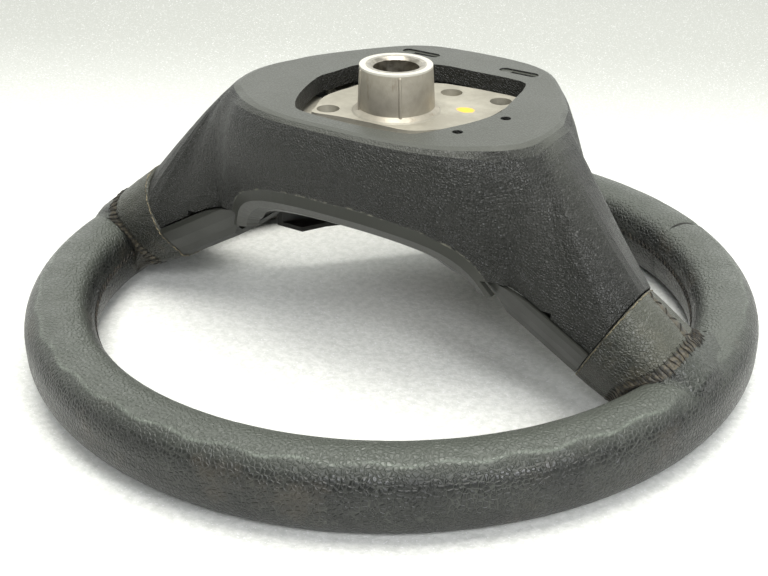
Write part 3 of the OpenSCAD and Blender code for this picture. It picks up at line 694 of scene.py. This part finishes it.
# %% Materials of the seams
def worn_hide():
    """Strips rubbed down to the pale core in specks."""
    mat, add, place = start_material("worn hide of the seam strips")
    tone = add("TexNoise", {"Vector": place, "Scale": per(2.381), "Detail": 5, "Roughness": 0.75})
    skin = mottled(add, tone, 0.4, 0.62, "#2c2b26", "#565041")
    fine = add("TexNoise", {"Vector": place, "Scale": per(0.9091), "Detail": 3})
    normal = add("Bump", {"Height": fine, "Distance": 0.00012})
    finish_material(add, {"Base Color": skin, "Roughness": 0.55, "Normal": normal, "IOR": 1.48})
    return mat


def twisted(name, dark, light, low, high):
    """Thread, or the fibres of a cut edge."""
    mat, add, place = start_material(name)
    tone = add("TexNoise", {"Vector": place, "Scale": per(2.381), "Detail": 4, "Roughness": 0.7})
    skin = mottled(add, tone, low, high, dark, light)
    # 0.35 mm between the turns of the yarn, as this texture repeats at pi/10 of its scale
    twist = add("TexWave", {"Vector": place, "Scale": per(0.3491)*math.pi/10, "Distortion": 2}, out="Fac")
    normal = add("Bump", {"Height": twist, "Distance": 0.0001})
    finish_material(add, {"Base Color": skin, "Roughness": 0.6, "Normal": normal, "IOR": 1.5})
    return mat


strip_hide = worn_hide()
thread = twisted("waxed polyester thread", "#1d1c19", "#4a4234", 0.45, 0.7)
cut_hide = twisted("cut edge of the hide", "#3a372e", "#8f8468", 0.4, 0.6)
print("seam materials ready")

# %% Threads
def tube(path, radius, sides=6):
    """Vertices and faces of a round tube along a path, closed at both ends."""
    path = np.asarray(path)
    ahead = unit(np.gradient(path, axis=0))
    u = unit(np.cross(ahead, np.array([0.3, 0.2, 0.93])))
    v = np.cross(ahead, u)
    a = np.linspace(0, 2*np.pi, sides, endpoint=False)
    rad = np.full(len(path), radius)
    rad[0] = rad[-1] = radius*0.5
    spread = np.cos(a)[None, :, None]*u[:, None] + np.sin(a)[None, :, None]*v[:, None]
    ring = path[:, None] + rad[:, None, None]*spread
    faces = grid_faces(len(path), sides)
    faces += [tuple(range(sides))[::-1], tuple((len(path) - 1)*sides + k for k in range(sides))]
    return ring.reshape(-1, 3), faces


def sew(name, stitches, radius, mat=thread):
    """One piece from many tubes."""
    verts, faces, start = [], [], 0
    for path in stitches:
        v, f = tube(path, radius)
        verts.append(v)
        faces += [tuple(i + start for i in q) for q in f]
        start += len(v)
    obj = make_mesh(name, np.concatenate(verts), faces, mat)
    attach(obj, "root")
    print(name, len(stitches))


# %% Strips over the joints of cuff and collar
STITCH_STEP, STITCH_R = 0.003, 0.0003
STRIP_W, STRIP_H, STRIP_ROWS = 0.0048, 0.0004, 10
STRIP_BACK = -0.3                     # the strip starts this share of its width before the seam
STRIP_TUCK = 0.0002                   # how deep the edges of a strip go into the skin


def skin_at(side, column, reach, lift):
    """Points over the skin at columns (fractions allowed) and distances past the seam."""
    grid, normal, along, mirror = spokes[side]
    m = grid.shape[1]
    column, reach, lift = np.broadcast_arrays(np.asarray(column, float), reach, lift)
    out = np.empty(column.shape + (3,))
    for index in np.ndindex(column.shape):
        low = int(math.floor(column[index]))
        part = column[index] - low
        spot = 0
        for c, weight in ((low % m, 1 - part), ((low + 1) % m, part)):
            row = np.interp(reach[index], along[:, c], np.arange(len(along)))
            before = min(int(row), len(along) - 2)
            here = grid[before, c] + (grid[before + 1, c] - grid[before, c])*(row - before)
            spot = spot + weight*(here + normal[before, c]*lift[index])
        out[index] = spot
    return out*mirror


def lay_strip(name, rows, closed):
    verts = np.array(rows)
    obj = make_mesh(name, verts.reshape(-1, 3), grid_faces(*verts.shape[:2], closed=closed), strip_hide)
    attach(obj, "root")


def joint_strip(side):
    grid = spokes[side][0]
    m = grid.shape[1]
    seam = grid[CUFF_ROWS - 1]
    count = int(np.linalg.norm(np.roll(seam, -1, 0) - seam, axis=1).sum()/STITCH_STEP)
    columns = np.arange(0, m, 0.5)
    phase = columns/m*count*2*np.pi
    rows = []
    for s in np.linspace(STRIP_BACK, 1, STRIP_ROWS):
        dome = 1 - abs(2*(s - STRIP_BACK)/(1 - STRIP_BACK) - 1)**3
        lift = STRIP_H*dome*(0.8 + 0.5*np.cos(phase)) - STRIP_TUCK*(1 - dome)
        wavy = 0.0003*np.sin(phase*0.5 + 2.0*s)
        rows.append(skin_at(side, columns, s*STRIP_W + wavy, lift))
    lay_strip(f"{side}_joint_strip", rows, True)
    stitches = []
    for k in range(count):
        t = np.linspace(-0.5, 0.9 + 0.35*rng.random(), 8)
        lean = 1.6*rng.uniform(-1, 1)
        lift = STRIP_H*(0.1 + 1.1*np.sin(np.linspace(0, np.pi, len(t))))
        stitches.append(skin_at(side, (k + 0.5)/count*m + lean*t, t*STRIP_W, lift))
    sew(f"{side}_joint_stitches", stitches, STITCH_R)


for side in spokes:
    joint_strip(side)

# %% Strips that close the cuffs, and their cut edges
CLOSING = {"right": -0.06*SIDE_W, "left": -0.06*SIDE_W, "lower": 0.62*LOW_W}    # place across the spoke
CLOSING_STEP, CLOSING_R, CLOSING_ROWS = 0.0042, 0.00026, 41
CLOSING_FROM, CLOSING_MORE = 2.5, 4.5    # half width at the plastic in columns, and what it gains toward the rim
CLOSING_LIFT, CLOSING_SLANT = 0.0005, 0.0016
CUT_EDGE_R = 0.00024


def closing_strip(side):
    ring = SPOKES[side][2]
    aside = np.where(ring[:, 1] > 0, np.abs(ring[:, 0] - CLOSING[side]), np.inf)
    middle = int(np.argmin(aside))
    reach = spokes[side][2][0, middle]
    count = int(-reach/CLOSING_STEP)
    place = np.linspace(-1, 1, 11)
    dome = 1 - np.abs(place)**3
    rows = []
    for along in np.linspace(0, 1, CLOSING_ROWS):
        lift = STRIP_H*dome*(0.85 + 0.3*math.cos(along*count*2*math.pi)) - STRIP_TUCK*(1 - dome)
        columns = middle + place*(CLOSING_FROM + CLOSING_MORE*along)
        rows.append(skin_at(side, columns, reach*(1 - along) + 0.0004, lift))
    lay_strip(f"{side}_closing_strip", rows, False)
    t = np.linspace(-0.8, 0.8, 7)
    stitches = []
    for k in range(count):
        along = (k + 0.5)/count
        slant = CLOSING_SLANT*(1 if k % 2 else -1)
        columns = middle + t*(CLOSING_FROM + CLOSING_MORE*along)
        stitches.append(skin_at(side, columns, reach*(1 - along) + slant*t, CLOSING_LIFT*(1.2 - t*t)))
    sew(f"{side}_closing_stitches", stitches, CLOSING_R)


def cut_edge(side):
    m = spokes[side][0].shape[1]
    columns = np.arange(m + 2)
    ragged = 0.00018*rng.uniform(-1, 1, m + 2)
    start = spokes[side][2][0][columns % m]
    path = skin_at(side, columns, start + 0.0006 + ragged, 0.0001 + ragged)
    sew(f"{side}_cut_edge", [path], CUT_EDGE_R, cut_hide)


for side in spokes:
    closing_strip(side)
    cut_edge(side)


# %% [markdown]
# ## Lacing of the rim
# The leather's two long edges meet on the inner line of the rim and are laced with crossed stitches. Each is a tube
# about 3.5 mm long, laid on the same section as the leather, so it can't float or sink.

# %% Lacing of the rim's inner seam
LACE_STEP, LACE_R = 0.0042, 0.00034
LACE_HALF = 11                        # half of a stitch's width, in points of the fine section
ABOVE_SIDE, BELOW_SIDE, BESIDE_LOW = 0.24, 0.2, 0.17    # radians kept free beside the spokes


def rim_lacing(name, start, end):
    """Crossed stitches along the innermost line of the rim."""
    step = LACE_STEP/(RIM_R - GRIP_R)
    sec = section_points(720)
    way = np.degrees(np.arctan2(sec[:, 3], sec[:, 2]))
    mid = int(np.argmin(np.abs(np.abs(way) - 180)))
    spread = np.linspace(-LACE_HALF, LACE_HALF, 6).astype(int)
    stitches = []
    for turn in np.arange(start, end, step):
        for slant in (-1, 1):
            path = [rim_place(np.array(turn + slant*step*0.5*s/LACE_HALF), sec[mid + s],
                              0.0003*(1 - (s/LACE_HALF)**2) + 0.0001) for s in spread]
            stitches.append(np.array(path))
    sew(name, stitches, LACE_R)


rim_lacing("upper_rim_lacing", math.pi + ABOVE_SIDE, 2*math.pi - ABOVE_SIDE)
rim_lacing("right_rim_lacing", BELOW_SIDE, math.pi/2 - BESIDE_LOW)
rim_lacing("left_rim_lacing", math.pi/2 + BESIDE_LOW, math.pi - BELOW_SIDE)

# %% [markdown]
# ## Floor and light
# A white foam sheet under a broad softbox, with two small ones from the front and from the side, in a room that is
# brighter behind the wheel, so that the leather gets broad soft reflections. A small lamp would give the shadow
# hard edges, and the real ones are soft.

# %% Floor and light
def floor_material():
    """Foamed sheet: a soft white with faint glints on its beads, and painted shade that makes it a little greyer far
    away.
    """
    mat, add, place = start_material("white foam sheet")
    speck = add("TexNoise", {"Vector": place, "Scale": per(3.846), "Detail": 4, "Roughness": 0.65})
    # Painted shade: the floor greys with distance behind the wheel, standing in for light that falls off
    away = add("VectorMath", (place, (-0.45, 0.89, 0.0)), out="Value", operation="DOT_PRODUCT")
    painted_far_shade = add("MapRange", (away, 0.1, 0.55), **SOFT)
    grit = add("TexNoise", {"Vector": place, "Scale": per(1.111), "Detail": 1})
    glint = add("MapRange", (grit, 0.66, 0.7), **SOFT)
    skin = mottled(add, speck, 0.3, 0.7, "#e2e4df", "#f6f7f3")
    skin = layered(add, skin, (painted_far_shade, "#b9bbb5"), (glint, "#ffffff"))
    normal = add("Bump", {"Height": speck, "Distance": 0.0006})
    finish_material(add, {"Base Color": skin, "Roughness": 0.45, "Normal": normal, "IOR": 1.45})
    return mat


FLOOR_HALF, FLOOR_Z = 4, -0.0004
corners = [(a*FLOOR_HALF, b*FLOOR_HALF, FLOOR_Z) for a, b in ((-1, -1), (1, -1), (1, 1), (-1, 1))]
floor = make_mesh("floor", corners, [(0, 1, 2, 3)], floor_material(), smooth=False)

world = bpy.data.worlds.new("bright room")
bpy.context.scene.world = world
world.use_nodes = True
world.node_tree.nodes.clear()
add = partial(put, world.node_tree)
way = add("TexCoord", out="Generated")
behind = add("VectorMath", (way, (-0.49, 0.87, 0.0)), out="Value", operation="DOT_PRODUCT")
glow = add("MapRange", (behind, -0.3, 0.8, 0.22, 1.45), **SOFT)
add("OutputWorld", {"Surface": add("Background", {"Color": hexed("#f2f4f1"), "Strength": glow})})


def softbox(name, place, target, size, watts, colour):
    lamp = bpy.data.lights.new(name, "AREA")
    lamp.shape, lamp.size, lamp.size_y = "RECTANGLE", size[0], size[1]
    lamp.energy, lamp.color = watts, hexed(colour)[:3]
    obj = bpy.data.objects.new(name, lamp)
    obj.location = place
    obj.rotation_euler = (Vector(target) - Vector(place)).to_track_quat("-Z", "Y").to_euler()
    bpy.context.scene.collection.objects.link(obj)


softbox("top_softbox", (0.1, -0.1, 1.7), (0, 0, 0.05), (1.3, 1.3), 32, "#fffdf8")
softbox("front_softbox", (0.55, -1.15, 1.0), (0.08, -0.16, 0.03), (0.4, 0.3), 8, "#fbfcff")
softbox("side_softbox", (1.15, -0.5, 0.75), (0.1, -0.05, 0.05), (0.3, 0.3), 9, "#fbfcff")
print("lights:", len(bpy.data.lights))

# %% [markdown]
# ## Camera
# The camera repeats the photograph's. Its three directions were solved from the rim's outline, and a matrix made of
# them places it without angles. Its lens shift is that of a cropped picture.

# %% Camera of the photograph
RIGHT = Vector((0.865341, 0.50058, 0.024603))
DOWN = Vector((0.271665, -0.427237, -0.862361))
AHEAD = Vector((-0.421169, 0.75292, -0.505696))
lens = bpy.data.cameras.new("camera")
lens.sensor_width, lens.lens = 36.0, 61.326
lens.shift_x, lens.shift_y = -0.10847, 0.10642
camera = bpy.data.objects.new("camera", lens)
bpy.context.scene.collection.objects.link(camera)
turned = Matrix((RIGHT, -DOWN, -AHEAD)).transposed().to_4x4()
camera.matrix_world = Matrix.Translation((0.32857, -0.51019, 0.33272)) @ turned
bpy.context.scene.camera = camera
bpy.context.scene.view_settings.view_transform = "Standard"
print("camera ready")

# %% [markdown]
